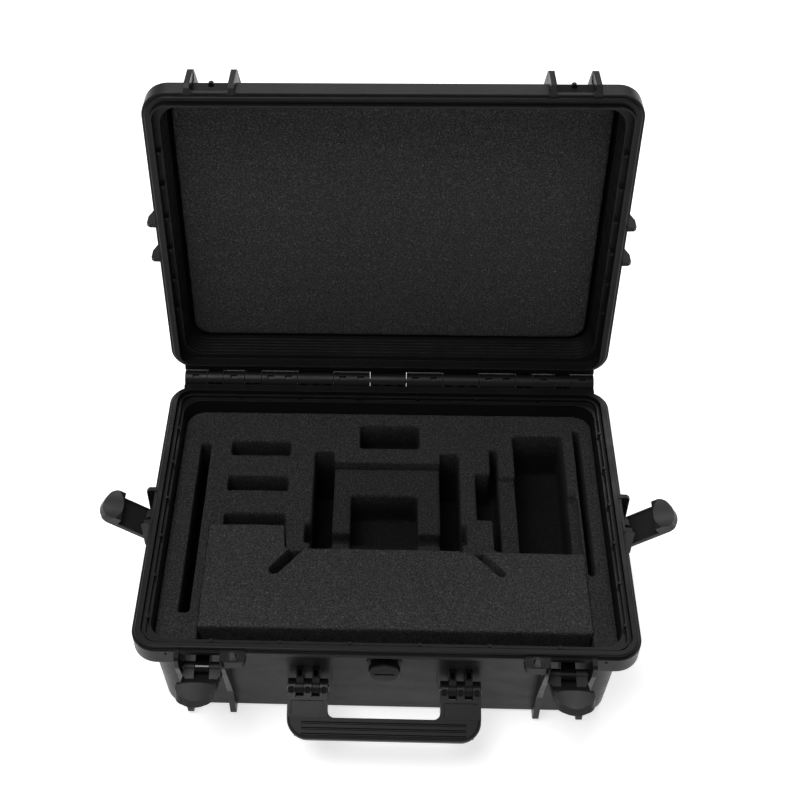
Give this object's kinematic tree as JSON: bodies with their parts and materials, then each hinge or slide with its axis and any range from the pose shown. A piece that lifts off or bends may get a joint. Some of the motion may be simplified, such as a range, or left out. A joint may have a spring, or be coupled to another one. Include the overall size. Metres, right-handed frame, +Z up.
{
  "type": "drone carrying case",
  "caption": "Hard plastic carrying case with cut foam for a quadcopter, hinged lid, lever latches, folding front handle and pressure valve.",
  "frame": {"origin": "on the floor plane under the middle of the base, where the feet stand", "axes": "+X to the right along the hinge, +Y from the front handle to the hinge, +Z up"},
  "size_m": [0.6592, 0.5469, 0.5497],
  "materials": {
    "shell_plastic": "fine moulded grain",
    "handle_plastic": "satin",
    "latch_plastic": "satin",
    "pad_plastic": "gloss",
    "grip_rubber": "matt",
    "rubber_seal": "matt",
    "foam": "fine closed cell foam",
    "membrane": "matt",
    "steel": "satin"
  },
  "bodies": {
    "base": {"base_shell": "shell_plastic", "hinge_rod": "steel", "seal_ring": "rubber_seal", "foam_base_floor": "foam", "foam_main": "foam", "foam_centre_block": "foam", "foam_front_slab": "foam", "handle_pin_left": "steel", "handle_pin_right": "steel", "valve_body": "shell_plastic", "valve_seal": "rubber_seal", "valve_membrane": "membrane", "valve_nut": "handle_plastic", "feet": "grip_rubber", "base_padlock_eyelets": "handle_plastic", "latch_pin_front_left": "steel", "latch_pin_front_right": "steel", "latch_pin_left_side": "steel", "latch_pin_right_side": "steel", "latch_saddle_front_left": "pad_plastic", "latch_saddle_front_right": "pad_plastic", "latch_saddle_left_side": "pad_plastic", "latch_saddle_right_side": "pad_plastic"},
    "lid": {"lid_shell": "shell_plastic", "foam_lid_pad": "foam"},
    "handle": {"handle_frame": "handle_plastic", "handle_grip": "grip_rubber"},
    "valve_knob": {"valve_knob": "handle_plastic"},
    "latch_front_left": {"latch_lever_front_left": "latch_plastic"},
    "latch_front_right": {"latch_lever_front_right": "latch_plastic"},
    "latch_left_side": {"latch_lever_left_side": "latch_plastic"},
    "latch_right_side": {"latch_lever_right_side": "latch_plastic"}
  },
  "joints": [
    {"name": "lid_hinge", "type": "hinge", "parent": "base", "child": "lid", "pos_m": [0, 0.2035, 0.1476], "axis": [-1, 0, 0], "range_deg": [-95, 0]},
    {"name": "handle_swing", "type": "hinge", "parent": "base", "child": "handle", "pos_m": [0, -0.192, 0.082], "axis": [-1, 0, 0], "range_deg": [-63, 30]},
    {"name": "valve_turn", "type": "hinge", "parent": "base", "child": "valve_knob", "pos_m": [0, -0.186, 0.108], "axis": [0, -1, 0], "range_deg": [0, 90]},
    {"name": "latch_front_left_lever", "type": "hinge", "parent": "base", "child": "latch_front_left", "pos_m": [-0.193, -0.188, 0.1124], "axis": [1, 0, 0], "range_deg": [-53, 0]},
    {"name": "latch_front_right_lever", "type": "hinge", "parent": "base", "child": "latch_front_right", "pos_m": [0.193, -0.188, 0.1124], "axis": [1, 0, 0], "range_deg": [-53, 0]},
    {"name": "latch_left_side_lever", "type": "hinge", "parent": "base", "child": "latch_left_side", "pos_m": [-0.265, 0.002, 0.1124], "axis": [0, -1, 0], "range_deg": [-53, 0]},
    {"name": "latch_right_side_lever", "type": "hinge", "parent": "base", "child": "latch_right_side", "pos_m": [0.265, 0.002, 0.1124], "axis": [0, 1, 0], "range_deg": [-53, 0]}
  ]
}
